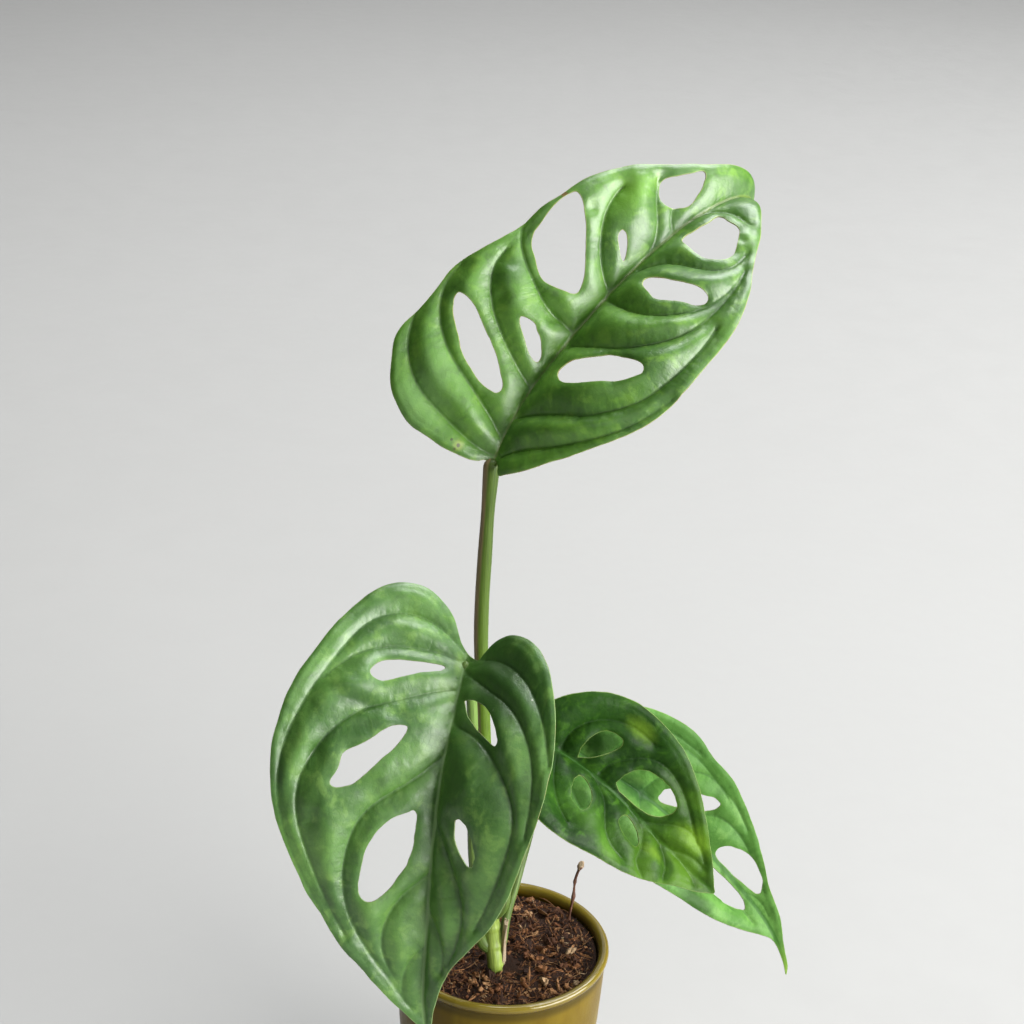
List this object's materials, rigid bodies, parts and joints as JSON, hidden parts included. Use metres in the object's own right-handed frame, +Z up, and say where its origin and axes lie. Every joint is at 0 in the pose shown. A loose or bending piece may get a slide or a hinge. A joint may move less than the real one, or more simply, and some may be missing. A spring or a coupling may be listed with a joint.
{
  "type": "potted monstera adansonii",
  "caption": "Small house plant with perforated heart-shaped leaves on long stalks, rooted in potting mix in a glazed round pot.",
  "frame": {"origin": "centre of the pot's flat underside", "axes": "+Z up along the pot's axis; -Y towards the side that the plant faces; +X to the right seen from there"},
  "size_m": [0.169, 0.1454, 0.3209],
  "materials": {
    "pot": "glossy mustard-olive glaze",
    "soil": "moist peat and coir mix",
    "stem": "smooth green stem",
    "petiole": "smooth green leaf stalk",
    "leaf": "satin green blade, quilted between the veins",
    "young_leaf": "satin pale green blade",
    "root": "matte pale root",
    "dry_root": "matte dry root",
    "sheath": "dry papery sheath"
  },
  "bodies": {
    "root": {"pot": "pot", "soil": "soil", "stem": "stem", "petiole_upper": "petiole", "petiole_left": "petiole", "petiole_right_front": "petiole", "petiole_right_back": "petiole", "leaf_upper": "leaf", "leaf_left": "leaf", "leaf_right_front": "leaf", "leaf_right_back": "young_leaf", "sheath": "sheath", "dry_root": "dry_root", "root_1": "root", "root_2": "root", "root_3": "root", "root_4": "root", "root_5": "root"}
  },
  "joints": []
}
